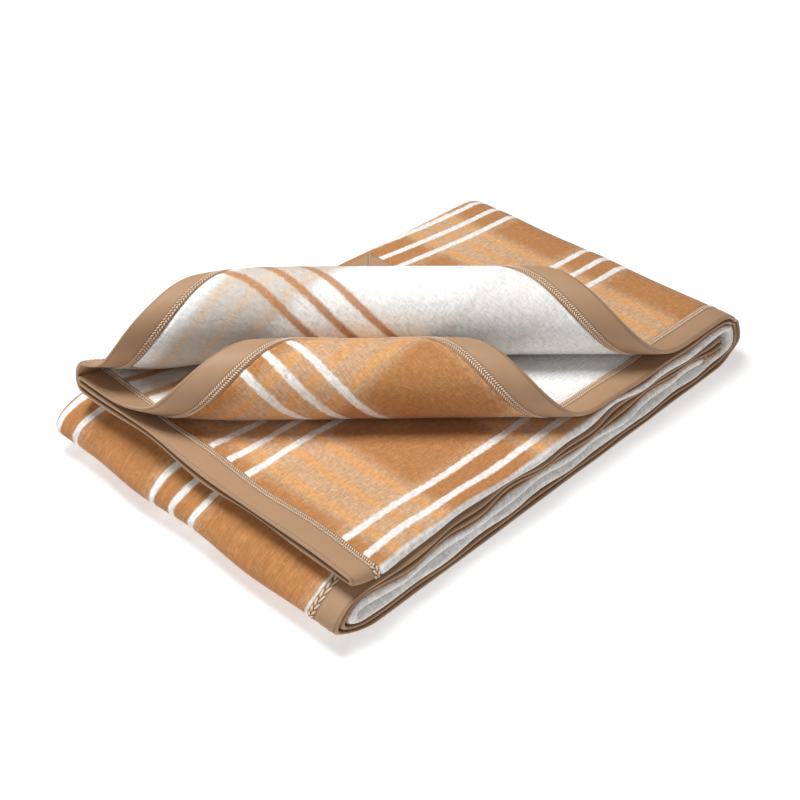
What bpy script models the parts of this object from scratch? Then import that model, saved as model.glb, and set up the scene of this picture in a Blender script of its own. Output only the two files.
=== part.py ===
"""Folded plush camp blanket: one double-faced cloth, four binding tapes,
their seams and mitre seams, folded into a twelve-layer pack with two corners
of the top layers rolled back.  Metres, +Z up, the origin under the middle of
the pack.  Each piece is made flat, as (u, v, w) on the open blanket, cut where
the pack bends it and then folded.  Layers of the strip, top to bottom, are
called A, B, C and D."""
import math

import bmesh
import bpy
from mathutils import Vector

# ---- driving sizes (metres) -------------------------------------------------
BLANKET_LENGTH = 2.000      # folded in three, lies along X
BLANKET_WIDTH = 1.800       # folded in four, lies along Y
CLOTH = 0.0060              # thickness of the raised pile cloth
PITCH = 0.0080              # height taken by one layer of the pack
TAPE_WIDTH = 0.036          # binding seen on each face
TAPE = 0.0007               # binding tape thickness
THREAD = 0.0005             # seam thread thickness
SEAM_WIDTH = 0.0050         # width of the zigzag seam
SEAM_INSET = 0.0012         # seam to the inner margin of the tape
MITRE_WIDTH = 0.0030        # width of a mitre seam
GAP = 0.0003                # clearance between neighbouring pieces

# corner of layer A (top layer), rolled back
ROLL_A_SHARE = 0.863        # corner to the roll line, as a share of the pack
ROLL_A_RADIUS = 0.045
ROLL_A_BEND = 0.100         # from here the roll line curves to the side fold
SIDE_MARGIN = 0.003         # roll line to the side fold, on the short edge
ROLL_A_DROP = 0.663         # slope of its flap behind the roll, in radians
ROLL_A_FOOT = 0.040         # radius where the flap lies down again
# corner of layer B (second layer), rolled back in front of A
ROLL_B_CLEAR = 0.0010       # its tip in front of the roll of A
ROLL_B_RADIUS = 0.045
LIE = 0.0028                # a flap above the layer it lies on

# facets
N_TURN_OUT = 10             # turn at +X, top set to bottom set
N_TURN_IN = 8               # turn at -X, bottom set to middle set
N_WRAP = 8                  # folds along the strip
N_ROLL = 12                 # rolled corners
N_FOOT = 4                  # foot of the flap of A
N_BEND = 5                  # straight lengths of the curved roll line of A

# ---- sizes that follow ------------------------------------------------------
HALF = CLOTH / 2
THREAD_OUT = HALF
THREAD_IN = THREAD_OUT - THREAD
TAPE_OUT = THREAD_IN - GAP
TAPE_IN = TAPE_OUT - TAPE
CORE = TAPE_IN - GAP
EDGE_IN = GAP
EDGE_OUT = EDGE_IN + TAPE
MITRE_GAP = 0.00025
FLOOR = (PITCH - CLOTH) / 2
EDGE = 0.0030               # first edge of the cloth inside the pack outline

# strip: A, wrap, D, fold, C, wrap, B (v runs across the blanket)
WRAP_OUT = 1.5 * PITCH
WRAP_IN = 0.5 * PITCH
Y_FOLD = WRAP_IN + HALF
Y_WRAP = (BLANKET_WIDTH + 2 * EDGE + 2 * Y_FOLD
          - math.pi * (WRAP_OUT + 2 * WRAP_IN)) / 4
V1 = Y_WRAP - EDGE
V2 = V1 + math.pi * WRAP_OUT
V3 = V2 + Y_WRAP - Y_FOLD
V4 = V3 + math.pi * WRAP_IN
V5 = V4 + Y_WRAP - Y_FOLD
V6 = V5 + math.pi * WRAP_IN

# letter fold: top set, turn, bottom set, turn, middle set (u runs along)
TURN_OUT = 4 * PITCH
TURN_IN = 2 * PITCH
X_IN = 3.5 * PITCH + HALF
END_BACK = 0.003
X_OUT = (BLANKET_LENGTH + EDGE + 2 * X_IN + END_BACK
         - math.pi * (TURN_OUT + TURN_IN)) / 3
U1 = X_OUT - EDGE
U2 = U1 + math.pi * TURN_OUT
U3 = U2 + X_OUT - X_IN
U4 = U3 + math.pi * TURN_IN

PACK_X = X_OUT + 5.5 * PITCH + HALF
PACK_Y = Y_WRAP + WRAP_OUT + HALF
CENTRE = Vector((PACK_X / 2, PACK_Y / 2, FLOOR))

DIAG = math.sqrt(0.5)


def landing_turn(start, radius):
    """Turn of a roll whose straight flap ends just above its layer."""
    low = math.radians(190)
    high = math.radians(320)
    for step in range(60):
        turn = (low + high) / 2
        rest = start - radius * turn
        end = radius * (1 - math.cos(turn)) + rest * math.sin(turn)
        if end > CLOTH + LIE:
            low = turn
        else:
            high = turn
    return turn


def tip_place(start, radius):
    """Where the tip of such a roll comes down."""
    turn = landing_turn(start, radius)
    rest = start - radius * turn
    return start - radius * math.sin(turn) - rest * math.cos(turn)


def start_for_tip(place, radius):
    """Roll line that brings the tip down at a given place."""
    low = radius * math.radians(200)
    high = place
    for step in range(60):
        start = (low + high) / 2
        if tip_place(start, radius) > place:
            high = start
        else:
            low = start
    return start


ROLL_A_START = ROLL_A_SHARE * Y_WRAP
SIDE_PLACE = (Y_WRAP - SIDE_MARGIN) * DIAG
ROLL_A_CURVE = (ROLL_A_START - SIDE_PLACE) / (SIDE_PLACE + ROLL_A_BEND) ** 2
BEND_STEP = (SIDE_PLACE + ROLL_A_BEND) / N_BEND
ROLL_A_TURN = math.pi + ROLL_A_DROP
ROLL_A_FALL = (ROLL_A_RADIUS * (1 + math.cos(ROLL_A_DROP)) - CLOTH - LIE
               - ROLL_A_FOOT * (1 - math.cos(ROLL_A_DROP))) / math.sin(ROLL_A_DROP)
ROLL_B_START = start_for_tip(ROLL_A_START - ROLL_A_RADIUS - ROLL_B_CLEAR,
                             ROLL_B_RADIUS)
ROLL_B_TURN = landing_turn(ROLL_B_START, ROLL_B_RADIUS)


def knots(radius, turn, fall, foot):
    """Cut lines of a roll: round the arc, and round the foot of its flap."""
    arc = radius * turn
    lines = [arc * i / N_ROLL for i in range(N_ROLL + 1)]
    bend = foot * (turn - math.pi)
    return lines + [arc + fall + bend * i / N_FOOT for i in range(N_FOOT + 1) if foot]


KNOTS_A = knots(ROLL_A_RADIUS, ROLL_A_TURN, ROLL_A_FALL, ROLL_A_FOOT)
KNOTS_B = knots(ROLL_B_RADIUS, ROLL_B_TURN, ROLL_B_START, 0.0)


# ---- folding: flat (u, v, w) to the folded pack -----------------------------
def strip_fold(v, w):
    """Across the blanket: y and height h in the four-layer strip."""
    if v <= V1:
        return EDGE + v, 3.5 * PITCH + w
    if v <= V2:
        a = (v - V1) / WRAP_OUT
        r = WRAP_OUT + w
        return Y_WRAP + r * math.sin(a), 2 * PITCH + r * math.cos(a)
    if v <= V3:
        return Y_WRAP - (v - V2), 0.5 * PITCH - w
    if v <= V4:
        a = (v - V3) / WRAP_IN
        r = WRAP_IN + w
        return Y_FOLD - r * math.sin(a), PITCH - r * math.cos(a)
    if v <= V5:
        return Y_FOLD + (v - V4), 1.5 * PITCH + w
    if v <= V6:
        a = (v - V5) / WRAP_IN
        r = WRAP_IN - w
        return Y_WRAP + r * math.sin(a), 2 * PITCH - r * math.cos(a)
    return Y_WRAP - (v - V6), 2.5 * PITCH - w


def letter_fold(u, h):
    """Along the blanket: x and z of a layer at height h in the strip."""
    if u <= U1:
        return EDGE + u, 8 * PITCH + h
    if u <= U2:
        a = (u - U1) / TURN_OUT
        r = 2 * PITCH + h
        return X_OUT + r * math.sin(a), 6 * PITCH + r * math.cos(a)
    if u <= U3:
        return X_OUT - (u - U2), 4 * PITCH - h
    if u <= U4:
        a = (u - U3) / TURN_IN
        return X_IN - h * math.sin(a), 4 * PITCH - h * math.cos(a)
    return X_IN + (u - U4), 4 * PITCH + h


def bend_knot(k):
    """Side place t and roll line distance at knot k of the curved line."""
    back = k * BEND_STEP
    return ROLL_A_BEND - back, ROLL_A_START - ROLL_A_CURVE * back * back


def roll_start_a(t):
    """Distance from the corner to the roll line of layer A, at side place t."""
    if t >= ROLL_A_BEND:
        return ROLL_A_START
    k = min(int((ROLL_A_BEND - t) / BEND_STEP), N_BEND)
    t1, s1 = bend_knot(k)
    t2, s2 = bend_knot(k + 1)
    return s1 + (s2 - s1) * (t1 - t) / BEND_STEP


def roll_start_b(t):
    """Distance from the corner to the roll line of layer B."""
    return ROLL_B_START


def roll_profile(d, shape, lines, w_up):
    """Section of a rolled corner: d along the cloth past the roll line."""
    for near, far in zip(lines, lines[1:]):
        if near <= d < far:
            s1, z1 = smooth_profile(near, *shape, w_up)
            s2, z2 = smooth_profile(far, *shape, w_up)
            share = (d - near) / (far - near)
            return s1 + (s2 - s1) * share, z1 + (z2 - z1) * share
    return smooth_profile(d, *shape, w_up)


def smooth_profile(d, radius, turn, fall, foot, w_up):
    """The same section before it is divided: arc, flap, foot and flat end."""
    a = min(d / radius, turn)
    s = -radius * math.sin(a)
    z = radius * (1 - math.cos(a))
    rest = max(d - radius * turn, 0.0)
    straight = min(rest, fall)
    s -= straight * math.cos(a)
    z += straight * math.sin(a)
    rest -= straight
    head = a
    if foot and rest > 0:
        head = max(a - rest / foot, math.pi)
        s += foot * (math.sin(head) - math.sin(a))
        z += foot * (math.cos(head) - math.cos(a))
        s += max(rest - foot * (turn - math.pi), 0.0)
    return s + w_up * math.sin(head), z + w_up * math.cos(head)


def roll_back(x, y, z_mid, w_up, start, shape, lines):
    """Roll the near corner of one layer back over the pack."""
    s = (x + y) * DIAG
    t = (x - y) * DIAG
    s0 = start(t)
    if s >= s0:
        return x, y, z_mid + w_up
    ds, dz = roll_profile(s0 - s, shape, lines, w_up)
    s = s0 + ds
    return (s + t) * DIAG, (s - t) * DIAG, z_mid + dz


SHAPE_A = (ROLL_A_RADIUS, ROLL_A_TURN, ROLL_A_FALL, ROLL_A_FOOT)
SHAPE_B = (ROLL_B_RADIUS, ROLL_B_TURN, ROLL_B_START, 0.0)


def fold(u, v, w):
    """Place one point of the flat blanket; w is measured to the brown face."""
    if u <= U1 and v <= V1:
        p = roll_back(EDGE + u, EDGE + v, 11.5 * PITCH, w,
                      roll_start_a, SHAPE_A, KNOTS_A)
        return Vector(p) - CENTRE
    y, h = strip_fold(v, w)
    if u <= U1 and v > V6:
        p = roll_back(EDGE + u, y, 10.5 * PITCH, -w,
                      roll_start_b, SHAPE_B, KNOTS_B)
        return Vector(p) - CENTRE
    x, z = letter_fold(u, h)
    return Vector((x, y, z)) - CENTRE


# ---- where the flat pieces bend ---------------------------------------------
def spread(a, b, n):
    """n + 1 evenly spaced places from a to b."""
    return [a + (b - a) * i / n for i in range(n + 1)]


U_LINES = spread(U1, U2, N_TURN_OUT) + spread(U3, U4, N_TURN_IN)
V_LINES = (spread(V1, V2, N_WRAP) + spread(V3, V4, N_WRAP)
           + spread(V5, V6, N_WRAP))


def face_area(bm, test):
    """Faces whose middle passes the test, with their edges and vertices."""
    faces = [f for f in bm.faces if test(f.calc_center_median())]
    edges = list({e for f in faces for e in f.edges})
    verts = list({v for f in faces for v in f.verts})
    return faces + edges + verts


def cut(bm, geom, point, normal):
    """Split faces along one straight line of the flat pattern."""
    bmesh.ops.bisect_plane(bm, geom=geom, dist=1e-6, plane_co=point,
                           plane_no=normal)


def in_a(c):
    """True on the panel of layer A."""
    return c.x < U1 and c.y < V1


def in_b(c):
    """True on the panel of layer B."""
    return c.x < U1 and c.y > V6


def side_a(c):
    """Side place t of a flat point on layer A."""
    return (c.x - c.y) * DIAG


def cut_fold_lines(bm):
    """Split a flat piece wherever the pack bends it."""
    for u in U_LINES:
        cut(bm, bm.faces[:] + bm.edges[:] + bm.verts[:], (u, 0, 0), (1, 0, 0))
    for v in V_LINES:
        cut(bm, bm.faces[:] + bm.edges[:] + bm.verts[:], (0, v, 0), (0, 1, 0))
    for k in range(N_BEND + 1):
        t = bend_knot(k)[0]
        cut(bm, face_area(bm, in_a), (t * DIAG, -t * DIAG, 0), (DIAG, -DIAG, 0))
    for k in range(-1, N_BEND + 1):
        t1, s1 = bend_knot(max(k, 0))
        t2, s2 = bend_knot(k + 1)
        slope = (s1 - s2) / BEND_STEP if k >= 0 else 0.0
        low = t2 if k >= 0 else t1
        high = t1 if k >= 0 else BLANKET_LENGTH
        normal = (DIAG - slope * DIAG, DIAG + slope * DIAG, 0)

        def zone(c):
            return in_a(c) and low < side_a(c) < high

        for d in KNOTS_A:
            s = s1 - d
            point = ((s + t1) * DIAG - EDGE, (s - t1) * DIAG - EDGE, 0)
            cut(bm, face_area(bm, zone), point, normal)
    for d in KNOTS_B:
        # on layer B, y = Y_WRAP + V6 - v and x = EDGE + u
        s = (ROLL_B_START - d) / DIAG
        cut(bm, face_area(bm, in_b), (s - EDGE, Y_WRAP + V6, 0),
            (DIAG, -DIAG, 0))


# ---- building flat pieces ---------------------------------------------------
def new_piece(name, bm, colour, rough):
    """Fold a closed flat body into the pack and make it an object."""
    bmesh.ops.recalc_face_normals(bm, faces=bm.faces[:])
    cut_fold_lines(bm)
    bmesh.ops.triangulate(bm, faces=bm.faces[:])
    for vert in bm.verts:
        vert.co = fold(vert.co.x, vert.co.y, vert.co.z)
    mesh = bpy.data.meshes.new(name)
    bm.to_mesh(mesh)
    bm.free()
    obj = bpy.data.objects.new(name, mesh)
    bpy.context.scene.collection.objects.link(obj)
    mat = bpy.data.materials.new(name + "_mat")
    mat.use_nodes = True
    shader = mat.node_tree.nodes["Principled BSDF"]
    shader.inputs["Base Color"].default_value = (*colour, 1)
    shader.inputs["Roughness"].default_value = rough
    mesh.materials.append(mat)
    return obj


def skin(bm, rings, closed_ring=True):
    """Join equal rings of points and close both ends with quads."""
    rows = [[bm.verts.new(p) for p in ring] for ring in rings]
    n = len(rows[0])
    for a, b in zip(rows, rows[1:]):
        for i in range(n):
            j = (i + 1) % n
            bm.faces.new((a[i], a[j], b[j], b[i]))
    for row in (rows[0], rows[-1]):
        for i in range(n // 2 - 1):
            bm.faces.new((row[i], row[i + 1], row[n - 2 - i], row[n - 1 - i]))


def on_edge(edge, along, e, w):
    """Flat place at e inside one edge of the blanket."""
    if edge == "near":
        return (along, e, w)
    if edge == "far":
        return (along, BLANKET_WIDTH - e, w)
    if edge == "start":
        return (e, along, w)
    return (BLANKET_LENGTH - e, along, w)


def along_edge(name, edge, outer, inner, colour, rough):
    """A strip of constant section along one edge, mitred at both ends."""
    total = BLANKET_LENGTH if edge in ("near", "far") else BLANKET_WIDTH
    section = list(outer) + list(reversed(inner))
    rings = []
    for end in (0, 1):
        ring = []
        for e, w in section:
            place = e + MITRE_GAP
            if end:
                place = total - place
            ring.append(on_edge(edge, place, e, w))
        rings.append(ring)
    bm = bmesh.new()
    skin(bm, rings)
    return new_piece(name, bm, colour, rough)


def make_cloth():
    """The plush cloth, pressed thin where the binding holds it."""
    inset = TAPE_WIDTH + GAP
    us = [0.0, inset, BLANKET_LENGTH - inset, BLANKET_LENGTH]
    vs = [0.0, inset, BLANKET_WIDTH - inset, BLANKET_WIDTH]
    bm = bmesh.new()
    rows = {}
    for side, sign in (("brown", 1), ("white", -1)):
        for i, u in enumerate(us):
            for j, v in enumerate(vs):
                rows[side, i, j, 0] = bm.verts.new((u, v, sign * CORE))
                if i in (1, 2) and j in (1, 2):
                    rows[side, i, j, 1] = bm.verts.new((u, v, sign * HALF))
        for i in range(3):
            for j in range(3):
                level = 1 if (i, j) == (1, 1) else 0
                quad = [(i, j), (i + 1, j), (i + 1, j + 1), (i, j + 1)]
                bm.faces.new([rows[side, a, b, level] for a, b in quad])
        ring = [(1, 1), (2, 1), (2, 2), (1, 2)]
        for k in range(4):
            a = ring[k]
            b = ring[(k + 1) % 4]
            bm.faces.new((rows[side, *a, 0], rows[side, *b, 0],
                          rows[side, *b, 1], rows[side, *a, 1]))
    rim = ([(i, 0) for i in range(3)] + [(3, j) for j in range(3)]
           + [(i, 3) for i in range(3, 0, -1)] + [(0, j) for j in range(3, 0, -1)])
    for k in range(len(rim)):
        a = rim[k]
        b = rim[(k + 1) % len(rim)]
        bm.faces.new((rows["brown", *a, 0], rows["brown", *b, 0],
                      rows["white", *b, 0], rows["white", *a, 0]))
    return new_piece("blanket_cloth", bm, (0.52, 0.26, 0.11), 0.95)


def make_tape(name, edge):
    """One binding tape, folded round its edge of the cloth."""
    nose = EDGE_OUT
    outer = [(TAPE_WIDTH, TAPE_OUT), (0.0004, TAPE_OUT), (-nose, TAPE_OUT * 0.5),
             (-nose, -TAPE_OUT * 0.5), (0.0004, -TAPE_OUT), (TAPE_WIDTH, -TAPE_OUT)]
    inner = [(TAPE_WIDTH, TAPE_IN), (0.0002, TAPE_IN), (-EDGE_IN, TAPE_IN * 0.8),
             (-EDGE_IN, -TAPE_IN * 0.8), (0.0002, -TAPE_IN), (TAPE_WIDTH, -TAPE_IN)]
    return along_edge(name, edge, outer, inner, (0.50, 0.33, 0.21), 0.45)


def make_seam(name, edge, side):
    """The zigzag seam on one face of one tape, as a band of thread."""
    a = TAPE_WIDTH - SEAM_INSET
    b = a - SEAM_WIDTH
    outer = [(a, side * THREAD_OUT), (b, side * THREAD_OUT)]
    inner = [(a, side * THREAD_IN), (b, side * THREAD_IN)]
    return along_edge(name, edge, outer, inner, (0.42, 0.27, 0.17), 0.6)


def make_mitre(name, at_end, at_far):
    """The short seam closing a mitred corner, over both faces."""
    start = TAPE_WIDTH - SEAM_INSET - SEAM_WIDTH - 0.0008
    nose_in = EDGE_OUT + GAP
    nose_out = nose_in + THREAD
    outer = [(start, THREAD_OUT), (-nose_in, THREAD_OUT), (-nose_out, TAPE_OUT),
             (-nose_out, -TAPE_OUT), (-nose_in, -THREAD_OUT), (start, -THREAD_OUT)]
    inner = [(start, THREAD_IN), (-EDGE_OUT + 0.0002, THREAD_IN),
             (-nose_in, TAPE_OUT * 0.7), (-nose_in, -TAPE_OUT * 0.7),
             (-EDGE_OUT + 0.0002, -THREAD_IN), (start, -THREAD_IN)]
    section = outer + list(reversed(inner))
    rings = []
    for side in (-1, 1):
        ring = []
        shift = side * MITRE_WIDTH / 2 * DIAG
        for e, w in section:
            u = e + shift
            v = e - shift
            if at_end:
                u = BLANKET_LENGTH - u
            if at_far:
                v = BLANKET_WIDTH - v
            ring.append((u, v, w))
        rings.append(ring)
    bm = bmesh.new()
    skin(bm, rings)
    return new_piece(name, bm, (0.42, 0.27, 0.17), 0.6)


def main():
    """Build every piece of the folded blanket."""
    for obj in list(bpy.data.objects):
        bpy.data.objects.remove(obj, do_unlink=True)
    make_cloth()
    edges = (("long_near", "near"), ("long_far", "far"),
             ("short_outer", "start"), ("short_inner", "end"))
    for label, edge in edges:
        make_tape("binding_" + label, edge)
        make_seam("seam_brown_" + label, edge, 1)
        make_seam("seam_white_" + label, edge, -1)
    make_mitre("mitre_seam_a_top", False, False)
    make_mitre("mitre_seam_b_top", False, True)
    make_mitre("mitre_seam_a_inner", True, False)
    make_mitre("mitre_seam_b_inner", True, True)


main()
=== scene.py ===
"""Looks of a folded plush camp blanket: double-faced brushed cloth, satin
binding on four edges, zigzag seams and mitred corners, folded into a pack
with two corners of the top layers rolled back.  Metres, +Z up."""
import math

import bpy
import numpy as np
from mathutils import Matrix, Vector


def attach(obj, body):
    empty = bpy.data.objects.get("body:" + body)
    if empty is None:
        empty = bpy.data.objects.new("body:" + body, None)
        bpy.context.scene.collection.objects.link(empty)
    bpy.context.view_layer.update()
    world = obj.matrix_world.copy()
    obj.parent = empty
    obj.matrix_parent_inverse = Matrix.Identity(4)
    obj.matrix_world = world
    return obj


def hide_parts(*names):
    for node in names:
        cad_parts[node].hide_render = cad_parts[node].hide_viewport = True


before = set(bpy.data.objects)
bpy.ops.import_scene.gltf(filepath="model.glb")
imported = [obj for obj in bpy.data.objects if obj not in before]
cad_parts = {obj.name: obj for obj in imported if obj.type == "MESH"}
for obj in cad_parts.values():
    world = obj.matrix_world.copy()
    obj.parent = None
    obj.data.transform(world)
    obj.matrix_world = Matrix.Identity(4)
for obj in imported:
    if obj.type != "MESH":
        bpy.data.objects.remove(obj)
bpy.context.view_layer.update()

bl_info = {
    "name": "Folded camp blanket",
    "version": (1, 0, 0),
    "blender": (4, 5, 0),
    "location": "3D View > Sidebar > Blanket",
    "description": "Builds the cloth, binding, seams and stage of a folded blanket",
    "category": "Object",
}

DIAG = math.sqrt(0.5)
LOWEST = 0.0001             # nothing goes below the floor


# ---- properties -------------------------------------------------------------
def length_prop(name, description, default):
    """A length in metres."""
    return bpy.props.FloatProperty(name=name, description=description,
                                   default=default, unit="LENGTH", precision=4)


def colour_prop(name, description, default):
    """A linear colour."""
    return bpy.props.FloatVectorProperty(name=name, description=description,
                                         default=default, size=3, min=0, max=1,
                                         subtype="COLOR")


class BlanketSizes(bpy.types.PropertyGroup):
    """Sizes of the open blanket and of its pack."""
    length: length_prop("Length", "Open length, folded in three", 2.000)
    width: length_prop("Width", "Open width, folded in four", 1.800)
    cloth: length_prop("Cloth", "Thickness over the pile", 0.0060)
    pressed: length_prop("Pressed cloth", "Thickness held by the binding", 0.0024)
    pitch: length_prop("Pitch", "Height taken by one layer", 0.0080)
    edge: length_prop("Edge", "First edge inside the pack outline", 0.0030)
    tape_width: length_prop("Tape width", "Binding seen on each face", 0.036)
    tape: length_prop("Tape", "Thickness of the binding", 0.0007)
    thread: length_prop("Thread", "Thickness of the sewing thread", 0.0012)
    seam_width: length_prop("Seam width", "Width of the zigzag", 0.0078)
    seam_inset: length_prop("Seam inset", "Zigzag to the tape margin", 0.0016)
    stitch: length_prop("Stitch", "Length of one zigzag", 0.0060)


class BlanketColours(bpy.types.PropertyGroup):
    """Yarn and binding colours."""
    brown: colour_prop("Brown", "Ground of the brown face", (0.49, 0.222, 0.080))
    orange: colour_prop("Orange", "Cross stripes, brown face", (0.74, 0.37, 0.125))
    beige: colour_prop("Beige", "Mixed yarn between cross stripes", (0.74, 0.52, 0.34))
    white: colour_prop("White", "Ground of the white face", (0.92, 0.92, 0.90))
    grey: colour_prop("Grey", "Mixed yarn of the white face", (0.50, 0.41, 0.33))
    tape: colour_prop("Tape", "Satin binding", (0.45, 0.275, 0.160))
    thread: colour_prop("Thread", "Sewing thread", (0.76, 0.56, 0.40))


# ---- shape of the pack ------------------------------------------------------
def soft_step(value, low, high):
    """0 below low, 1 above high, smooth between."""
    t = np.clip((value - low) / (high - low), 0, 1)
    return t * t * (3 - 2 * t)


class Pack:
    """The folded pack: flat (u, v, w) on the blanket to x, y, z.

    u runs along the blanket from its outer short end and v across it from its
    near long edge; w is the height above the middle of the cloth, to the brown
    face.  Layer A is the near quarter of the top set and layer B lies under it.
    """

    roll_a_start = 0.400        # corner to the roll line of layer A
    roll_a_radius = 0.050
    roll_a_bend = -0.097        # from here the roll line curves
    side_margin = -0.0045       # roll line to the side fold
    roll_b_start = 0.283        # corner to the roll line of layer B
    roll_b_radius = 0.0425
    tip_b = 0.0088              # height at which the tip of B lands
    drop = math.radians(38)     # slope of the flap of A behind its roll
    foot = 0.040                # radius where that flap lies down again
    lie = 0.0070                # flap of A above the layer it lies on
    # height of the settled pack at its corners, as a share of its full height
    near, right, left, back = 0.94, 0.90, 1.09, 0.94
    puff = 0.98                 # height of the rolls, as a share
    lift = 0.015                # left end of layer A stands above layer B
    lift_top = 0.012            # left end of the whole top set stands up
    lift_reach = 0.060          # how far both reach along the pack
    perk = 0.0075               # rise of the bound left edge of the top set
    perk_reach = 0.060
    slip_x, slip_y = 0.008, -0.012      # whole pack against its outline
    bulge = 0.0350              # swelling of the folded end
    spur = 0.022                # far left corner of layer B reaches out
    spur_reach = 0.120
    blend = 0.006               # height over which top and lower set part
    # slip of the top set and the lower set at the corners near, right, left, back
    top_dx = (-0.007, -0.006, -0.013, 0.008)
    top_dy = (0.006, 0.000, -0.023, -0.008)
    low_dx = (0.001, 0.007, 0.000, 0.000)
    low_dy = (0.002, 0.003, 0.026, 0.000)

    def __init__(self, sizes):
        p = sizes.pitch
        self.pitch, self.edge = p, sizes.edge
        half = sizes.cloth / 2
        self.floor = p / 2 - half
        self.wrap_out, self.wrap_in = 1.5 * p, 0.5 * p
        self.y_fold = self.wrap_in + half
        self.y_wrap = (sizes.width + 2 * self.edge + 2 * self.y_fold
                       - math.pi * (self.wrap_out + 2 * self.wrap_in)) / 4
        flat = self.y_wrap - self.y_fold
        lines = [self.y_wrap - self.edge]
        for step in (math.pi * self.wrap_out, flat, math.pi * self.wrap_in, flat,
                     math.pi * self.wrap_in):
            lines.append(lines[-1] + step)
        self.v = lines
        self.turn_out, self.turn_in = 4 * p, 2 * p
        self.x_in = 3.5 * p + half
        self.x_out = (sizes.length + self.edge + 2 * self.x_in + self.edge
                      - math.pi * (self.turn_out + self.turn_in)) / 3
        lines = [self.x_out - self.edge]
        for step in (math.pi * self.turn_out, self.x_out - self.x_in,
                     math.pi * self.turn_in):
            lines.append(lines[-1] + step)
        self.u = lines
        self.size_x = self.x_out + 5.5 * p + half
        self.size_y = self.y_wrap + self.wrap_out + half

    def strip(self, v, w):
        """Across the blanket: y and height h in the four-layer strip."""
        p, out, inn = self.pitch, self.wrap_out, self.wrap_in
        v1, v2, v3, v4, v5, v6 = self.v
        a1, a2, a3 = (v - v1) / out, (v - v3) / inn, (v - v5) / inn
        cases = [v <= v1, v <= v2, v <= v3, v <= v4, v <= v5, v <= v6]
        y = np.select(cases, [
            self.edge + v, self.y_wrap + (out + w) * np.sin(a1),
            self.y_wrap - (v - v2), self.y_fold - (inn + w) * np.sin(a2),
            self.y_fold + (v - v4), self.y_wrap + (inn - w) * np.sin(a3)],
            self.y_wrap - (v - v6))
        h = np.select(cases, [
            3.5 * p + w, 2 * p + (out + w) * np.cos(a1), 0.5 * p - w,
            p - (inn + w) * np.cos(a2), 1.5 * p + w, 2 * p - (inn - w) * np.cos(a3)],
            2.5 * p - w)
        return y, h

    def letter(self, u, h):
        """Along the blanket: x and z of a layer at height h in the strip."""
        p = self.pitch
        u1, u2, u3, u4 = self.u
        a1, a2 = (u - u1) / self.turn_out, (u - u3) / self.turn_in
        cases = [u <= u1, u <= u2, u <= u3, u <= u4]
        x = np.select(cases, [
            self.edge + u, self.x_out + (2 * p + h) * np.sin(a1),
            self.x_out - (u - u2), self.x_in - h * np.sin(a2)],
            self.x_in + (u - u4))
        z = np.select(cases, [
            8 * p + h, 6 * p + (2 * p + h) * np.cos(a1), 4 * p - h,
            4 * p - h * np.cos(a2)], 4 * p + h)
        return x, z

    def section(self, d, w, radius, turn, drop, foot):
        """Section of a roll: arc, straight flap, foot arc, flat end."""
        a = np.clip(d / radius, 0, turn)
        s, z, head = -radius * np.sin(a), radius * (1 - np.cos(a)), a
        rest = np.clip(d - radius * turn, 0, None)
        straight = np.minimum(rest, drop)
        s, z = s - straight * np.cos(a), z + straight * np.sin(a)
        if foot:
            rest = rest - straight
            back = np.clip(rest / foot, 0, turn - math.pi)
            head = a - back
            # the centre of the foot arc lies above the flap
            s = s + foot * (np.sin(head) - np.sin(a))
            z = z + foot * (np.cos(head) - np.cos(a))
            flat = np.clip(rest - foot * (turn - math.pi), 0, None)
            s = s - flat * np.cos(head)
            z = z + flat * np.sin(head)
        return s + w * np.sin(head), z + w * np.cos(head)

    def roll(self, x, y, z_mid, w, start, radius, turn, drop, foot):
        """Roll the near corner of one layer back over the pack."""
        s, t = (x + y) * DIAG, (x - y) * DIAG
        line = start(t)
        ds, dz = self.section(np.maximum(line - s, 0), w, radius, turn, drop, foot)
        rolled = s < line
        s = np.where(rolled, line + ds, s)
        z = np.where(rolled, z_mid + dz, z_mid + w)
        return (s + t) * DIAG, (s - t) * DIAG, z

    def line_b(self, t):
        """Distance from the corner to the roll line of B, the same all along."""
        return self.roll_b_start + 0 * t

    def line_a(self, t):
        """Distance from the corner to the roll line of A at side place t."""
        side = (self.y_wrap - self.side_margin) * DIAG
        curve = (self.roll_a_start - side) / (side + self.roll_a_bend) ** 2
        back = np.clip(self.roll_a_bend - t, 0, None)
        return self.roll_a_start - curve * back * back

    def landing(self, start, radius, height):
        """Turn of a roll whose straight flap ends at a given height."""
        low, high = math.radians(190), math.radians(320)
        for _ in range(60):
            turn = (low + high) / 2
            end = (radius * (1 - math.cos(turn))
                   + (start - radius * turn) * math.sin(turn))
            low, high = (turn, high) if end > height else (low, turn)
        return turn

    def place(self, u, v, w):
        """Fold flat points into the pack."""
        u, v, w = np.broadcast_arrays(*(np.asarray(c, float) for c in (u, v, w)))
        p = self.pitch
        y, h = self.strip(v, w)
        x, z = self.letter(u, h)
        top = u <= self.u[0]
        turn = math.pi + self.drop
        fall = (self.roll_a_radius * (1 - math.cos(turn)) - self.lie
                - self.foot * (1 - math.cos(self.drop))) / math.sin(self.drop)
        a = self.roll(self.edge + u, self.edge + v, 11.5 * p, w, self.line_a,
                      self.roll_a_radius, turn, fall, self.foot)
        b = self.roll(self.edge + u, y, 10.5 * p, -w, self.line_b,
                      self.roll_b_radius,
                      self.landing(self.roll_b_start, self.roll_b_radius, self.tip_b),
                      self.roll_b_start, None)
        on_a = top & (v <= self.v[0])
        on_b = top & (v > self.v[5])
        x, y, z = (np.where(on_a, a[i], np.where(on_b, b[i], c))
                   for i, c in enumerate((x, y, z)))
        raised = np.where(top, 1 - soft_step(v, self.v[0], self.v[1]), 0)
        return self.settle(x, y, z - self.floor, raised)

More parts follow.
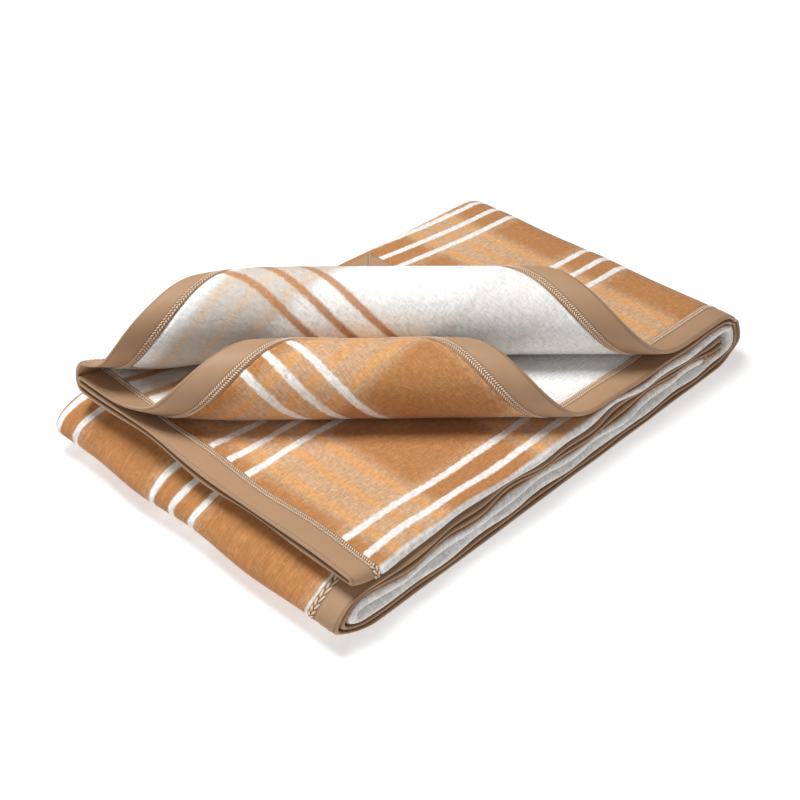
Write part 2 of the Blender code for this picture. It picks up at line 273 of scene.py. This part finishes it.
    def between(self, corners, a, b):
        """A value given at the corners near, right, left and back."""
        near, right, left, back = corners
        return (near * (1 - a) + right * a) * (1 - b) + (left * (1 - a) + back * a) * b

    def settle(self, x, y, z, raised):
        """Looseness of the pack: uneven height, bulging and leaning sides."""
        a, b = np.clip(x / self.size_x, 0, 1), np.clip(y / self.size_y, 0, 1)
        from_left = np.clip(x, 0, None)
        full = 12 * self.pitch - 2 * self.floor
        split = 8 * self.pitch - self.floor
        high = soft_step(z, split - self.blend, split + self.blend)
        middle = np.sin(math.pi * np.clip(z / full, 0, 1))
        near_side = (1 - b) ** 6 * middle
        # heights: settled corners, lifted left end, perked edge, ripples of the side
        level = self.between((self.near, self.right, self.left, self.back), a, b)
        end = np.exp(-(from_left / self.lift_reach) ** 2) * soft_step(b, 0.40, 0.95)
        edge = (high * np.clip(1 - x / self.perk_reach, 0, 1.2) ** 2
                * np.clip(1 - (z - full) / 0.02, 0, 1))
        z2 = np.where(z < full, z * level, full * level + (z - full) * self.puff)
        z2 = z2 + (self.lift * raised + self.lift_top * high) * end
        z2 = z2 + self.perk * edge + near_side * 0.0010 * np.sin(48 * x + 1.0)
        # lengthwise: the folded end swells and the two sets slip
        swell = self.bulge * np.sin(math.pi * np.clip(z / split, 0, 1)) ** 0.7
        x2 = (x - swell * (1 - a) ** 3 + self.between(self.top_dx, a, b) * high
              + self.between(self.low_dx, a, b) * (1 - high))
        # crosswise: the sets slip, the far corner reaches out, the side is wavy
        reach = soft_step(b, 0.72, 1.0) * np.exp(-(from_left / self.spur_reach) ** 2)
        y2 = (y + self.between(self.top_dy, a, b) * high
              + self.between(self.low_dy, a, b) * (1 - high)
              + self.spur * reach * high * (1 - 0.6 * raised)
              + near_side * (0.0016 * np.sin(27 * x + 140 * z)
                             + 0.0014 * np.sin(71 * x - 80 * z + 2)))
        wave = middle * (0.0016 * np.sin(23 * x + 31 * y + 60 * z)
                         + 0.0010 * np.sin(57 * x - 41 * y + 110 * z + 1.3))
        return (x2 - self.size_x / 2 + self.slip_x + wave,
                y2 - self.size_y / 2 + self.slip_y + wave,
                np.maximum(z2 + wave * 0.6, LOWEST))


def spread(*marks):
    """Places along one line: (end, spacing) pairs after a start."""
    start, *runs = marks
    places = [start]
    for end, spacing in runs:
        n = max(1, round((end - start) / spacing))
        places += [start + (end - start) * i / n for i in range(1, n + 1)]
        start = end
    return np.array(places)


# ---- the plaid --------------------------------------------------------------
PLAID_PERIOD = 0.2255           # from one stripe group to the next
WARP_GROUPS = (0.003, 0.238, 0.437, 0.690, 0.9345, 1.151, 1.390, 1.616, 1.802)
GROUP_HALF = 0.07               # stripes keep their true width this far out
CROSS_FIRST = 0.098             # middle of the first group across
STRIPE_GAP = 0.0315             # between the three stripes along the blanket
STRIPE_HALF = 0.0047            # half the width of one of them
CROSS_GAP = 0.0335              # between the three stripes across the blanket
FOLD_STRIPE = 0.9095            # white line along the side fold of the brown face
SKEW, SKEW_PLACE, SKEW_REACH = 0.038, 0.63, 0.28    # cloth pulled askew


def plaid_place(u, v):
    """Pattern coordinates: whole periods at the middle of each stripe group."""
    knots, values = [], []
    for i, centre in enumerate(WARP_GROUPS):
        for side in (-GROUP_HALF, GROUP_HALF):
            knots.append(centre + side)
            values.append(i * PLAID_PERIOD + side)
    pull = np.exp(-((u - SKEW_PLACE) / SKEW_REACH) ** 2)
    skew = SKEW * pull * (1 - soft_step(v, 0.50, 0.80))
    return u - CROSS_FIRST, np.interp(v + skew, knots, values)


# ---- mesh helpers -----------------------------------------------------------
def new_object(name, verts, faces, material, uv, plaid=True):
    """A mesh object from points and faces, with its flat place as a UV map."""
    mesh = bpy.data.meshes.new(name)
    mesh.from_pydata(verts.tolist(), [], faces)
    loops = np.zeros(len(mesh.loops), np.int32)
    mesh.loops.foreach_get("vertex_index", loops)
    maps = {"flat": uv}
    if plaid:
        maps["plaid"] = np.c_[plaid_place(*uv.T)]
    for title, pair in maps.items():
        layer = mesh.uv_layers.new(name=title)
        layer.data.foreach_set("uv", pair[loops].astype(np.float32).ravel())
    mesh.shade_smooth()
    mesh.materials.append(material)
    mesh.validate()
    obj = bpy.data.objects.new(name, mesh)
    bpy.context.scene.collection.objects.link(obj)
    return obj


def keep(obj, node):
    """The piece stands for its CAD node and rides with the blanket."""
    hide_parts(node)
    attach(obj, "root")


def band_faces(n_rows, n_ring):
    """Quads joining equal closed rings."""
    faces = []
    for i in range(n_rows - 1):
        for j in range(n_ring):
            k = (j + 1) % n_ring
            faces.append((i * n_ring + j, i * n_ring + k,
                          (i + 1) * n_ring + k, (i + 1) * n_ring + j))
    return faces


# ---- shader maths -----------------------------------------------------------
class Value:
    """A socket that can be used in plain arithmetic."""

    def __init__(self, shader, socket):
        self.shader, self.socket = shader, socket

    def math(self, operation, *others):
        """One Math node on this value and others."""
        return self.shader.maths(operation, self, *others)

    def __add__(self, other):
        return self.math("ADD", other)

    def __sub__(self, other):
        return self.math("SUBTRACT", other)

    def __mul__(self, other):
        return self.math("MULTIPLY", other)

    def __radd__(self, other):
        return self.shader.maths("ADD", other, self)

    def __rsub__(self, other):
        return self.shader.maths("SUBTRACT", other, self)

    def __rmul__(self, other):
        return self.shader.maths("MULTIPLY", other, self)

    def step(self, low, high):
        """0 below low, 1 above high, smooth between."""
        return self.shader.node("MapRange", {"interpolation_type": "SMOOTHSTEP"},
                                {"Value": self, "From Min": low, "From Max": high})


class Shader:
    """A material built by expressions."""

    def __init__(self, name, **constants):
        self.material = bpy.data.materials.new(name)
        self.material.use_nodes = True
        self.tree = self.material.node_tree
        self.shader = self.tree.nodes["Principled BSDF"]
        for title, value in constants.items():
            self.shader.inputs[title.replace("_", " ")].default_value = value

    def node(self, kind, settings, values, out=0):
        """Add a node: its settings first, then its sockets."""
        node = self.tree.nodes.new("ShaderNode" + kind)
        for title, value in settings.items():
            setattr(node, title, value)
        for key, value in values.items():
            self.feed(node.inputs[key], value)
        return Value(self, node.outputs[out])

    def maths(self, operation, *values):
        """One Math node."""
        return self.node("Math", {"operation": operation}, dict(enumerate(values)))

    def feed(self, socket, value):
        """Link a value to a socket, or set the socket."""
        if isinstance(value, Value):
            self.tree.links.new(value.socket, socket)
        elif socket.type == "RGBA" and len(value) == 3:
            socket.default_value = (*value, 1)
        else:
            socket.default_value = value

    def mix(self, share, a, b, blend="MIX"):
        """A colour between a and b."""
        return self.node("Mix", {"data_type": "RGBA", "blend_type": blend},
                         {0: share, 6: a, 7: b}, out=2)

    def place(self, name, scale=(1, 1, 1), angle=0.0):
        """Coordinates from a UV map, scaled to the size of a pattern."""
        uv = self.node("UVMap", {"uv_map": name}, {})
        return self.node("Mapping", {}, {"Vector": uv, "Scale": scale,
                                         "Rotation": (0, 0, angle)})

    def noise(self, vector, scale, detail=2.0, rough=0.5):
        """Noise at a scale in cycles per metre."""
        return self.node("TexNoise", {"noise_dimensions": "3D"},
                         {"Vector": vector, "Scale": scale, "Detail": detail,
                          "Roughness": rough})

    def axes(self, vector):
        """The two parts of a flat place."""
        parts = self.node("SeparateXYZ", {}, {"Vector": vector}).socket.node
        return Value(self, parts.outputs[0]), Value(self, parts.outputs[1])

    def grey(self, shade):
        """A grey colour of one brightness."""
        return self.node("CombineColor", {}, {0: shade, 1: shade, 2: shade})

    def finish(self, **links):
        """Link colour, roughness and normal to the shader."""
        for title, value in links.items():
            self.feed(self.shader.inputs[title.replace("_", " ")], value)
        return self.material

    def bump(self, height, distance, strength):
        """A bump from a height field."""
        return self.node("Bump", {}, {"Height": height, "Distance": distance,
                                      "Strength": strength})


def from_middle(place):
    """Distance from the middle of the nearest stripe group."""
    half = PLAID_PERIOD / 2
    return half - (place.math("PINGPONG", PLAID_PERIOD) - half).math("ABSOLUTE")


def bands(place, gap, low, high):
    """Three equal bands round each group middle, 1 inside and 0 outside."""
    return (1 - place.step(low, high)).math(
        "MAXIMUM", 1 - (place - gap).math("ABSOLUTE").step(low, high))


# brushed pile: sizes of its unevenness, in cycles per metre
FRAY, HAIR, CROSS_HAIR, TUFT, CLOUD = 150, 105, 95, 120, 16
COMB = 4.2                      # a brushed streak is this much longer than wide
HAZE_EDGE = (0.034, 0.058)      # where mixed yarn fades out beside a cross group
BROWN_EDGE = (STRIPE_HALF - 0.0024, STRIPE_HALF + 0.0020)   # softer brown stripes
WHITE_EDGE = (STRIPE_HALF - 0.0016, STRIPE_HALF + 0.0012)


def plush_material(name, colours, white_side, nap=0.0):
    """Brushed pile with the plaid of one face; nap lightens loose fibres."""
    mat = Shader(name, Sheen_Weight=0.30, Sheen_Roughness=0.40, Roughness=0.95,
                 Specular_IOR_Level=0.10)
    cross, warp = mat.axes(mat.place("plaid"))
    flat_u, flat_v = mat.axes(mat.place("flat"))
    fray = mat.noise(mat.place("flat", (1, 1.6, 1)), FRAY, 4, 0.75) - 0.5
    hair = mat.noise(mat.place("flat", (1, COMB, 1), 0.45), HAIR, 4, 0.72)
    hair_b = mat.noise(mat.place("flat", (COMB, 1, 1), -0.25), CROSS_HAIR, 4, 0.72)
    tuft = mat.noise(mat.place("flat", (1, 2.0, 1), 0.3), TUFT, 3, 0.6)
    wide = mat.noise(mat.place("flat"), CLOUD)
    along = from_middle(warp + fray * 0.0062)
    over = from_middle(cross + fray * 0.014 + (tuft - 0.5) * 0.006)
    middle = bands(over, CROSS_GAP, 0.0010, 0.0095)
    haze = 1 - over.step(*HAZE_EDGE)
    side_haze = along.step(STRIPE_GAP + 0.004, STRIPE_GAP + 0.007) * (
        1 - along.step(STRIPE_GAP + 0.006, STRIPE_GAP + 0.022))
    mixed = hair * 0.55 + hair_b * 0.45
    streak = mixed.step(0.34, 0.66)
    if white_side:
        stripe = bands(along, STRIPE_GAP, *BROWN_EDGE)
        faint = 1 - 0.8 * flat_u.step(0.19, 0.25)
        ground = mat.mix(haze * faint * (0.48 + 0.42 * streak), colours.white,
                         colours.grey)
        ground = mat.mix(middle * haze * faint * 0.45, ground, colours.beige)
        ground = mat.mix(side_haze * streak * 0.25, ground, colours.grey)
        colour = mat.mix(stripe * (0.97 - 0.15 * (1 - streak)), ground, colours.brown)
    else:
        ground = mat.mix(haze * (0.44 + 0.24 * streak), colours.brown, colours.beige)
        ground = mat.mix(middle * (0.95 - 0.35 * streak), ground, colours.orange)
        ground = mat.mix(side_haze * (0.05 + 0.40 * streak), ground, colours.beige)
        ground = mat.mix((streak * tuft).step(0.35, 0.8) * 0.22, ground, colours.beige)
        stripe = bands(along, STRIPE_GAP, *WHITE_EDGE)
        fold_stripe = 1 - (flat_v - FOLD_STRIPE).math("ABSOLUTE").step(0.0054, 0.0082)
        white = stripe.math("MAXIMUM", fold_stripe)
        colour = mat.mix(white * (0.97 - 0.14 * (1 - streak)), ground, colours.white)
    shade = (0.68 + 0.34 * mixed.step(0.32, 0.68) + 0.14 * tuft.step(0.3, 0.7)
             + 0.14 * wide)
    colour = mat.mix(1.0, colour, mat.grey(shade), "MULTIPLY")
    if nap:
        colour = mat.mix(nap, colour, colours.white if white_side else colours.beige)
    height = hair * 0.5 + hair_b * 0.4 + tuft * 0.7
    return mat.finish(Base_Color=colour, Normal=mat.bump(height, 0.0022, 0.60))


FACE_MARK = 0.05                # tells the two faces of a tape apart on its map
WEAVE, TWIST = 2600, 1800       # satin weave and thread twist, cycles per metre


def satin_material(name, colours, sizes):
    """Woven satin binding, with painted shade under its zigzag seam and along its
    margins.
    """
    mat = Shader(name, Sheen_Weight=0.10, Sheen_Roughness=0.3,
                 Specular_IOR_Level=0.30)
    side = mat.axes(mat.place("flat"))[1]
    inside = side + FACE_MARK - 2 * FACE_MARK * side.math("GREATER_THAN", 0.02)
    weave = mat.noise(mat.place("flat"), WEAVE)
    wide = mat.noise(mat.place("flat", (1, 1.6, 1)), 34, 3, 0.5)
    middle = sizes.tape_width - sizes.seam_inset - sizes.seam_width / 2
    # painted shade between the stitches: the tape darkens under the zigzag seam
    seam = 1 - (inside - middle).math("ABSOLUTE").step(
        sizes.seam_width * 0.42, sizes.seam_width * 0.75)
    # painted shade in the crease where the tape turns round the blanket's edge
    painted_crease_shade = 1 - (inside - 0.0012).math("ABSOLUTE").step(0.0002, 0.0022)
    rim = inside.step(sizes.tape_width - 0.0012, sizes.tape_width - 0.0004)
    shade = (0.90 + 0.08 * weave + 0.16 * (wide - 0.5)) * (1 - 0.32 * seam)
    shade = shade * (1 - 0.25 * painted_crease_shade) + 0.25 * rim
    colour = mat.mix(1.0, colours.tape, mat.grey(shade), "MULTIPLY")
    height = weave * 0.2 + wide * 1.2
    return mat.finish(Base_Color=colour, Roughness=0.48 + 0.10 * weave,
                      Normal=mat.bump(height, 0.0008, 0.35))


def thread_material(name, colours):
    """Twisted sewing thread."""
    mat = Shader(name, Roughness=0.5, Sheen_Weight=0.2, Specular_IOR_Level=0.4)
    twist = mat.noise(mat.place("flat"), TWIST)
    shade = 0.80 + 0.35 * twist
    colour = mat.mix(1.0, colours.thread, mat.grey(shade), "MULTIPLY")
    return mat.finish(Base_Color=colour, Normal=mat.bump(twist, 0.0002, 0.4))


# ---- pieces -----------------------------------------------------------------
BROWN_FACE, WHITE_FACE = 0, 1


def edge_place(sizes, edge, along, e):
    """Flat place at e inside one edge of the blanket."""
    if edge == "long_near":
        return along, e
    if edge == "long_far":
        return along, sizes.width - e
    if edge == "short_outer":
        return e, along
    return sizes.length - e, along


def sheet_faces(nu, nv):
    """Front, back and rim quads of a sheet of nu by nv points on each face."""
    index = np.arange(nu * nv).reshape(nu, nv)
    front = np.stack((index[:-1, :-1], index[1:, :-1], index[1:, 1:], index[:-1, 1:]),
                     -1).reshape(-1, 4)
    back = front[:, ::-1] + nu * nv
    edge = np.concatenate((index[:-1, 0], index[-1, :-1], index[:0:-1, -1],
                           index[0, :0:-1]))
    following = np.roll(edge, -1)
    rim = np.stack((edge, edge + nu * nv, following + nu * nv, following), -1)
    return front, back, rim


def make_cloth(sizes, colours):
    """The brushed cloth: two faces, pressed thin under the binding."""
    pack = Pack(sizes)
    u1, u2, u3, u4 = pack.u
    v1, v2, v3, v4, v5, v6 = pack.v
    tape, total_u, total_v = sizes.tape_width, sizes.length, sizes.width
    under, beyond = 0.002, 0.006        # fine mesh under and beside the tape margin
    us = spread(0, (tape - under, 0.006), (tape + beyond, 0.0016), (u1, 0.006),
                (u2, 0.006), (u3, 0.010), (u4, 0.0025),
                (total_u - tape - beyond, 0.012), (total_u - tape + under, 0.0016),
                (total_u, 0.008))
    vs = spread(0, (tape - under, 0.006), (tape + beyond, 0.0016), (v1, 0.006),
                (v2, 0.0025), (v3, 0.014), (v4, 0.0012), (v5, 0.006), (v6, 0.0016),
                (total_v - tape - beyond, 0.006), (total_v - tape + under, 0.0016),
                (total_v, 0.006))
    grid_u, grid_v = np.meshgrid(us, vs, indexing="ij")
    inside = np.minimum(np.minimum(grid_u, total_u - grid_u),
                        np.minimum(grid_v, total_v - grid_v))
    thick = (sizes.pressed + (sizes.cloth - sizes.pressed)
             * soft_step(inside, tape - 0.001, tape + 0.0045)) / 2
    verts = [np.stack(pack.place(grid_u, grid_v, side * thick), -1).reshape(-1, 3)
             for side in (1, -1)]
    uv = np.stack((grid_u, grid_v), -1).reshape(-1, 2)
    front, back, rim = sheet_faces(len(us), len(vs))
    brown = plush_material("pile_brown", colours, False)
    white = plush_material("pile_white", colours, True)
    obj = new_object("blanket_cloth_plush", np.concatenate(verts),
                     np.concatenate((front, back, rim)).tolist(), brown,
                     np.concatenate((uv, uv)))
    obj.data.materials.append(white)
    slots = np.zeros(len(obj.data.polygons), np.int32)
    slots[len(front):2 * len(front)] = WHITE_FACE
    obj.data.polygons.foreach_set("material_index", slots)
    keep(obj, "blanket_cloth")
    nap = make_nap(pack, sizes, (plush_material("nap_brown", colours, False, 0.28),
                                 plush_material("nap_white", colours, True, 0.30)))
    keep(nap, "blanket_cloth")
    return obj


# stretches of the open blanket whose pile is seen: u from and to, v from and to,
# face and number of fibres
NAP = ((0.043, 1.390, 0.043, 0.470, BROWN_FACE, 24000),
       (0.043, 0.620, 0.906, 1.360, BROWN_FACE, 15000),
       (0.043, 0.400, 1.380, 1.757, BROWN_FACE, 11000),
       (0.043, 0.580, 0.043, 0.420, WHITE_FACE, 9000),
       (0.043, 0.600, 1.360, 1.757, WHITE_FACE, 6000))


def make_nap(pack, sizes, materials):
    """Loose brushed fibres lying over the pile, one slim triangle each."""
    rng = np.random.default_rng(7)
    parts = []
    for u0, u1, v0, v1, face, count in NAP:
        u, v = rng.uniform(u0, u1, count), rng.uniform(v0, v1, count)
        turn = rng.normal(0.35, 0.55, count)            # brushed one way, unevenly
        reach = rng.uniform(0.0040, 0.0085, count)
        wide = rng.uniform(0.00022, 0.00042, count)     # half width at the root
        du, dv = np.cos(turn), np.sin(turn)
        side = 1 - 2 * face
        low = side * (sizes.cloth / 2 - 0.0001)
        high = side * (sizes.cloth / 2 + rng.uniform(0.0002, 0.0011, count))
        flat_u = np.stack((u - dv * wide, u + dv * wide, u + du * reach), -1)
        flat_v = np.stack((v + du * wide, v - du * wide, v + dv * reach), -1)
        level = np.stack((low + 0 * u, low + 0 * u, high), -1)
        flip = slice(None) if face == WHITE_FACE else slice(None, None, -1)
        parts.append((flat_u[:, flip], flat_v[:, flip], level[:, flip],
                      np.full(count, face)))
    flat_u, flat_v, level, slot = (np.concatenate(c) for c in zip(*parts))
    verts = np.stack(pack.place(flat_u, flat_v, level), -1).reshape(-1, 3)
    uv = np.stack((flat_u, flat_v), -1).reshape(-1, 2)
    faces = np.arange(len(verts)).reshape(-1, 3).tolist()
    obj = new_object("blanket_cloth_nap", verts, faces, materials[0], uv)
    obj.data.materials.append(materials[1])
    obj.data.polygons.foreach_set("material_index", slot.astype(np.int32))
    return obj


def tape_section(sizes):
    """Half section of the binding: place e inside the edge and height w."""
    sunk, crown = 0.0006, 0.0010        # margin below the pile, middle above it
    high = sizes.cloth / 2 - sunk
    points = [(sizes.tape_width * s, high + crown * math.sin(math.pi * s) ** 0.7)
              for s in (1.0, 0.93, 0.82, 0.66, 0.50, 0.34, 0.20, 0.10, 0.04)]
    return points + [(-0.0004, high * 0.80), (-0.0011, high * 0.45)]


def lining(section, tape):
    """The same section moved in by the thickness of the tape."""
    moved = []
    for e, w in section:
        in_e = tape if e <= 0.002 else 0.0
        in_w = math.copysign(tape, w) if abs(w) > 0.001 else 0.0
        moved.append((e + in_e, w - in_w))
    return moved


GATHER, GATHER_STEP = 0.00040, 0.0093       # puckers along the sewn margin


def make_binding(sizes, edge, material):
    """One satin tape folded round an edge, mitred at both corners."""
    pack = Pack(sizes)
    total = sizes.length if edge.startswith("long") else sizes.width
    half = tape_section(sizes)
    outer = half + [(-0.0013, 0.0)] + [(e, -w) for e, w in reversed(half)]
    ring = np.array(outer + lining(outer, sizes.tape)[::-1])
    marks = pack.u if edge.startswith("long") else pack.v
    places = spread(0, *((total * 0.001 + m, 0.004) for m in marks), (total, 0.004))
    e, w = ring[:, 0], ring[:, 1]
    share = places[:, None] / total
    along = (e + 0.0002) * (1 - share) + (total - e - 0.0002) * share
    lengthwise = places[:, None]
    phase = 2 * math.pi / GATHER_STEP * lengthwise + 2 * np.sin(lengthwise * 37)
    ripple = (GATHER * np.sin(phase) * np.clip(e / sizes.tape_width, 0, 1) ** 2
              * (0.5 + 0.5 * np.sin(lengthwise * 61 + 1)))
    height = w + np.sign(w) * ripple
    flat = edge_place(sizes, edge, along, e + 0 * along)
    verts = np.stack(pack.place(*flat, height), -1).reshape(-1, 3)
    n = len(ring)
    faces = band_faces(len(places), n)
    m = n // 2
    for base in (0, (len(places) - 1) * n):
        for j in range(m - 1):
            quad = (base + j, base + j + 1, base + n - 2 - j, base + n - 1 - j)
            faces.append(quad if base else quad[::-1])
    uv = np.stack((places[:, None] + 0 * along,
                   e + np.sign(w) * FACE_MARK + 0 * along), -1).reshape(-1, 2)
    if edge in ("long_far", "short_outer"):
        faces = [f[::-1] for f in faces]
    obj = new_object("binding_" + edge + "_satin", verts, faces, material, uv,
                     plaid=False)
    keep(obj, "binding_" + edge)
    return obj


def stitch_grain(start, end, rise, girth, rings=5, sides=6):
    """Points of one stitch from hole to hole, in (e, along, w)."""
    start, end = np.array(start), np.array(end)
    t = np.linspace(0, 1, rings)
    line = start + (end - start) * t[:, None]
    line[:, 2] += rise * np.sin(math.pi * t)
    fat = girth * (0.45 + 0.55 * np.sin(math.pi * t) ** 0.6)
    across = np.array((end[1] - start[1], -(end[0] - start[0]), 0.0))
    across /= np.linalg.norm(across)
    a = np.arange(sides) * 2 * math.pi / sides
    ring = (np.cos(a)[:, None] * across + np.sin(a)[:, None] * np.array((0, 0, 0.8)))
    return line[:, None, :] + fat[:, None, None] * ring[None]


def stitch_faces(count, rings=5, sides=6):
    """Faces of many equal stitches."""
    one = band_faces(rings, sides)
    caps = [tuple(range(sides))[::-1],
            tuple((rings - 1) * sides + j for j in range(sides))]
    faces = []
    for k in range(count):
        base = k * rings * sides
        faces += [tuple(base + i for i in f) for f in one + caps]
    return faces


# the two rows of a zigzag, as shares of the seam's width
ROW_FIRST, ROW_PITCH, ROW_WIDTH = 0.08, 0.50, 0.42


def make_seam(sizes, edge, face, material):
    """The zigzag seam of one tape on one face, as separate stitches."""
    pack = Pack(sizes)
    total = sizes.length if edge.startswith("long") else sizes.width
    sign = 1 if face == "brown" else -1
    outer = sizes.tape_width - sizes.seam_inset
    inner = outer - sizes.seam_width
    sunk, rise = 0.0001, 0.0004         # ends in the pile, middle above it
    level = sizes.cloth / 2 - sunk
    stitches = []
    for k in range(int((total - 2 * outer) / (sizes.stitch / 2))):
        for row in (0, 1):
            low = inner + sizes.seam_width * (ROW_FIRST + ROW_PITCH * row)
            high = low + sizes.seam_width * ROW_WIDTH
            ends = (low, high) if row else (high, low)
            start = outer + k * sizes.stitch / 2 + sizes.stitch * 0.25 * row
            end = start + sizes.stitch * 0.36
            stitches.append(stitch_grain((ends[0], start, level), (ends[1], end, level),
                                         rise, sizes.thread * 0.85))
    points = np.array(stitches).reshape(-1, 3)
    flat = edge_place(sizes, edge, points[:, 1], points[:, 0])
    verts = np.stack(pack.place(*flat, sign * points[:, 2]), -1)
    name = f"seam_{face}_{edge}"
    obj = new_object(name + "_stitches", verts, stitch_faces(len(stitches)), material,
                     points[:, [1, 0]], plaid=False)
    keep(obj, name)
    return obj


MITRE_STITCHES = 9              # on each face


def make_mitre(sizes, name, at_end, at_far, material):
    """Short stitches closing one mitred corner on both faces."""
    pack = Pack(sizes)
    sunk, rise = 0.0002, 0.0002         # ends in the tape, middle above it
    level = sizes.cloth / 2 - sunk
    reach = sizes.tape_width - sizes.seam_inset - sizes.seam_width - 0.002
    stitches = []
    for sign in (1, -1):
        for k in range(MITRE_STITCHES):
            a = 0.001 + reach * k / MITRE_STITCHES
            b = a + reach / MITRE_STITCHES * 0.8
            stitches.append(stitch_grain((a, a, level), (b, b, level), rise,
                                         sizes.thread * 0.5) * (1, 1, sign))
    points = np.array(stitches).reshape(-1, 3)
    u, v = points[:, 0], points[:, 1]
    if at_end:
        u = sizes.length - u
    if at_far:
        v = sizes.width - v
    verts = np.stack(pack.place(u, v, points[:, 2]), -1)
    obj = new_object(name + "_stitches", verts, stitch_faces(len(stitches)), material,
                     points[:, :2], plaid=False)
    keep(obj, name)
    return obj


# ---- stage ------------------------------------------------------------------
FLOOR_HALF = 6.0
# lights: name, place, size and watts
LIGHTS = (("key", (-0.28, 0.40, 2.10), 0.9, 48),
          ("fill", (-1.7, -0.9, 1.2), 1.4, 8))


def make_floor():
    """A pale floor that glows with painted light, weaker near the blanket and stronger
    away from it.
    """
    # painted light: the floor glows on top of the light it takes from the lamps
    shader = Shader("studio_floor", Roughness=0.95, Specular_IOR_Level=0.0,
                    Emission_Strength=1.0)
    x, y = shader.axes(shader.place("flat"))
    # painted light: the glow rises from about half near the blanket to full far away
    away = (x * x + y * y).step(0.20, 1.60)
    shader.finish(Base_Color=(0.62, 0.62, 0.62),
                  Emission_Color=shader.grey(0.54 + 0.46 * away))
    corners = FLOOR_HALF * np.array([(-1, -1, 0), (1, -1, 0), (1, 1, 0), (-1, 1, 0)])
    floor = new_object("studio_floor", corners, [(0, 1, 2, 3)], shader.material,
                       corners[:, :2], plaid=False)


def make_light(scene, name, place, width, power):
    """A square lamp aimed at the blanket."""
    data = bpy.data.lights.new(name, "AREA")
    data.shape, data.size, data.energy = "SQUARE", width, power
    lamp = bpy.data.objects.new(name, data)
    scene.collection.objects.link(lamp)
    lamp.location = place
    lamp.rotation_mode = "QUATERNION"
    lamp.rotation_quaternion = (-Vector(place)).to_track_quat("-Z", "Y")


def make_stage(scene):
    """A pale floor, soft light and the camera."""
    make_floor()
    world = bpy.data.worlds.new("studio_world")
    world.use_nodes = True
    back = world.node_tree.nodes["Background"]
    back.inputs["Color"].default_value = (1.0, 1.0, 1.0, 1)
    back.inputs["Strength"].default_value = 0.12
    scene.world = world
    for row in LIGHTS:
        make_light(scene, *row)
    camera = bpy.data.objects.new("camera", bpy.data.cameras.new("camera"))
    scene.collection.objects.link(camera)
    camera.data.sensor_width = 36.0
    camera.data.lens = 57.50
    camera.location = (-0.949, -0.882, 0.928)
    camera.rotation_euler = (math.radians(90 - 35.68), 0, math.radians(43.89 - 90))
    camera.data.clip_start, camera.data.clip_end = 0.05, 30
    scene.camera = camera
    scene.view_settings.view_transform = "Standard"


# ---- operators --------------------------------------------------------------
EDGES = ("long_near", "long_far", "short_outer", "short_inner")
# mitre seams: name, at the inner end, on the far side
MITRES = (("mitre_seam_a_top", False, False), ("mitre_seam_b_top", False, True),
          ("mitre_seam_a_inner", True, False), ("mitre_seam_b_inner", True, True))


def choices(context):
    """Sizes and colours set in the panel."""
    return context.scene.blanket_sizes, context.scene.blanket_colours


class BLANKET_OT_cloth(bpy.types.Operator):
    """Build the brushed double-faced cloth"""
    bl_idname = "blanket.cloth"
    bl_label = "Cloth"

    def execute(self, context):
        """The cloth is one folded sheet."""
        sizes, colours = choices(context)
        cloth = make_cloth(sizes, colours)
        return {"FINISHED"}


class BLANKET_OT_binding(bpy.types.Operator):
    """Build the satin binding of the four edges"""
    bl_idname = "blanket.binding"
    bl_label = "Binding"

    def execute(self, context):
        """One tape for each edge."""
        sizes, colours = choices(context)
        material = satin_material("binding_satin", colours, sizes)
        for edge in EDGES:
            make_binding(sizes, edge, material)
        return {"FINISHED"}


class BLANKET_OT_seams(bpy.types.Operator):
    """Build the zigzag seams and the mitre seams"""
    bl_idname = "blanket.seams"
    bl_label = "Seams"

    def execute(self, context):
        """Two zigzag seams for each tape and one seam for each mitre."""
        sizes, colours = choices(context)
        material = thread_material("sewing_thread", colours)
        for edge in EDGES:
            for face in ("brown", "white"):
                make_seam(sizes, edge, face, material)
        for name, at_end, at_far in MITRES:
            make_mitre(sizes, name, at_end, at_far, material)
        return {"FINISHED"}


class BLANKET_OT_stage(bpy.types.Operator):
    """Build the floor, the lights and the camera"""
    bl_idname = "blanket.stage"
    bl_label = "Stage"

    def execute(self, context):
        """The stage needs no sizes."""
        make_stage(context.scene)
        return {"FINISHED"}


class BLANKET_PT_panel(bpy.types.Panel):
    """Sizes, colours and makers of the blanket"""
    bl_label = "Folded blanket"
    bl_space_type = "VIEW_3D"
    bl_region_type = "UI"
    bl_category = "Blanket"

    def draw(self, context):
        """List every property and operator."""
        for group in (context.scene.blanket_sizes, context.scene.blanket_colours):
            for title in group.__annotations__:
                self.layout.prop(group, title)
        for maker in MAKERS:
            self.layout.operator(maker.bl_idname)


MAKERS = (BLANKET_OT_cloth, BLANKET_OT_binding, BLANKET_OT_seams, BLANKET_OT_stage)
CLASSES = (BlanketSizes, BlanketColours, *MAKERS, BLANKET_PT_panel)


def register():
    """Add the classes and the scene's properties."""
    for cls in CLASSES:
        bpy.utils.register_class(cls)
    bpy.types.Scene.blanket_sizes = bpy.props.PointerProperty(type=BlanketSizes)
    bpy.types.Scene.blanket_colours = bpy.props.PointerProperty(type=BlanketColours)


def unregister():
    """Remove what register added."""
    del bpy.types.Scene.blanket_colours
    del bpy.types.Scene.blanket_sizes
    for cls in reversed(CLASSES):
        bpy.utils.unregister_class(cls)


def main():
    """Build the blanket and its stage."""
    register()
    bpy.ops.blanket.cloth()
    bpy.ops.blanket.binding()
    bpy.ops.blanket.seams()
    bpy.ops.blanket.stage()


if __name__ == "__main__":
    main()
